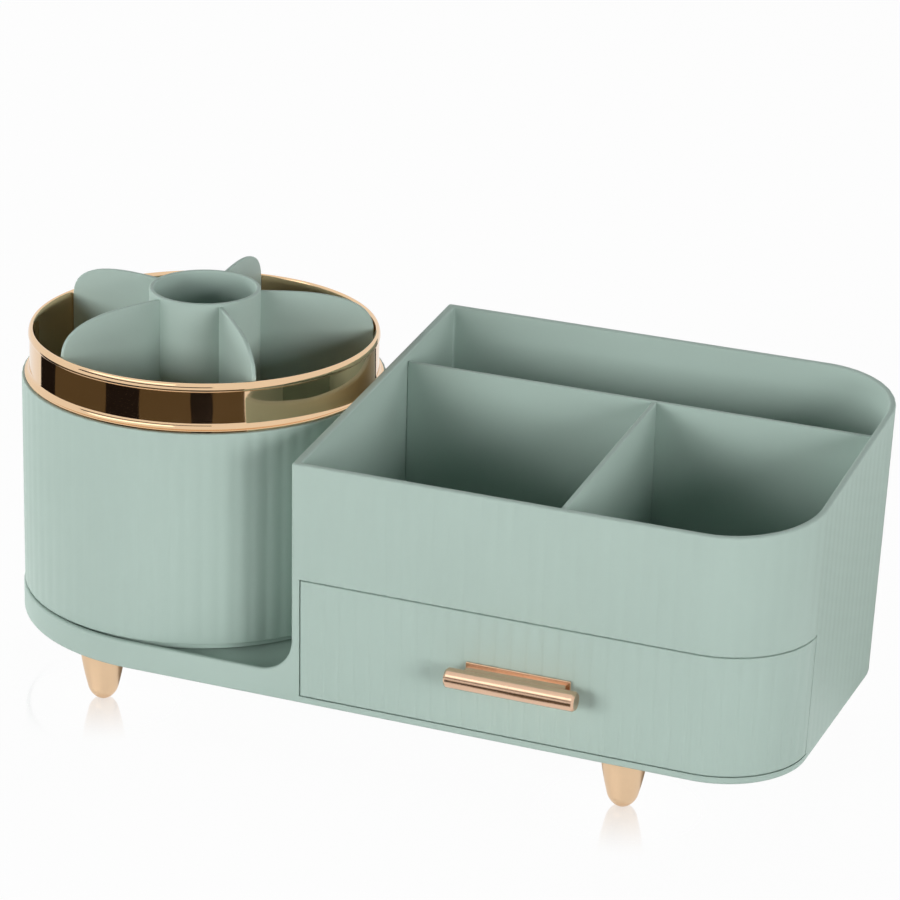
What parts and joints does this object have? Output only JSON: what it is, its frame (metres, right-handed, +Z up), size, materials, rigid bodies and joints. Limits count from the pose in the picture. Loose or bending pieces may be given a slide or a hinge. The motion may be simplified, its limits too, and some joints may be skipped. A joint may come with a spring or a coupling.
{
  "type": "rotating makeup organizer drawers",
  "caption": "Makeup organizer on tapered feet: a fluted turning brush cup beside a sloping divided tray over a pull-out drawer with a bar handle.",
  "frame": {"origin": "under the middle of the whole object, on the surface that the feet stand on", "axes": "+X along the length from the turning cup to the drawer end, -Y the front with the drawer handle, +Z up"},
  "size_m": [0.3125, 0.1512, 0.1421],
  "materials": {
    "sage_plastic": "satin sage green",
    "rose_gold_plated_plastic": "vacuum-plated mirror rose gold",
    "rose_gold_metal": "polished rose gold plating",
    "champagne_feet": "satin champagne anodised",
    "acetal": "natural white",
    "zinc_plated_steel": "bright zinc"
  },
  "bodies": {
    "case": {"case_body": "sage_plastic", "bearing_deck": "sage_plastic", "glide_ring": "acetal", "pivot_washer": "zinc_plated_steel", "pivot_screw": "zinc_plated_steel", "foot_front_left": "champagne_feet", "foot_front_right": "champagne_feet", "foot_back_left": "champagne_feet", "foot_back_right": "champagne_feet", "foot_screws": "zinc_plated_steel", "cross_divider": "sage_plastic", "front_divider": "sage_plastic"},
    "cup": {"cup_shell": "sage_plastic", "cup_base": "sage_plastic", "cup_ring": "rose_gold_plated_plastic", "brush_tube": "sage_plastic", "radial_dividers": "sage_plastic"},
    "drawer": {"drawer_front": "sage_plastic", "drawer_box": "sage_plastic", "drawer_handle": "rose_gold_metal", "handle_screws": "zinc_plated_steel", "front_screws": "zinc_plated_steel"}
  },
  "joints": [
    {"name": "cup_spin", "type": "hinge", "parent": "case", "child": "cup", "pos_m": [-0.0902, 0.00446, 0.0306], "axis": [0, 0, 1], "continuous": true},
    {"name": "drawer_slide", "type": "slide", "parent": "case", "child": "drawer", "axis": [0, -1, 0], "range_m": [0, 0.1]}
  ]
}
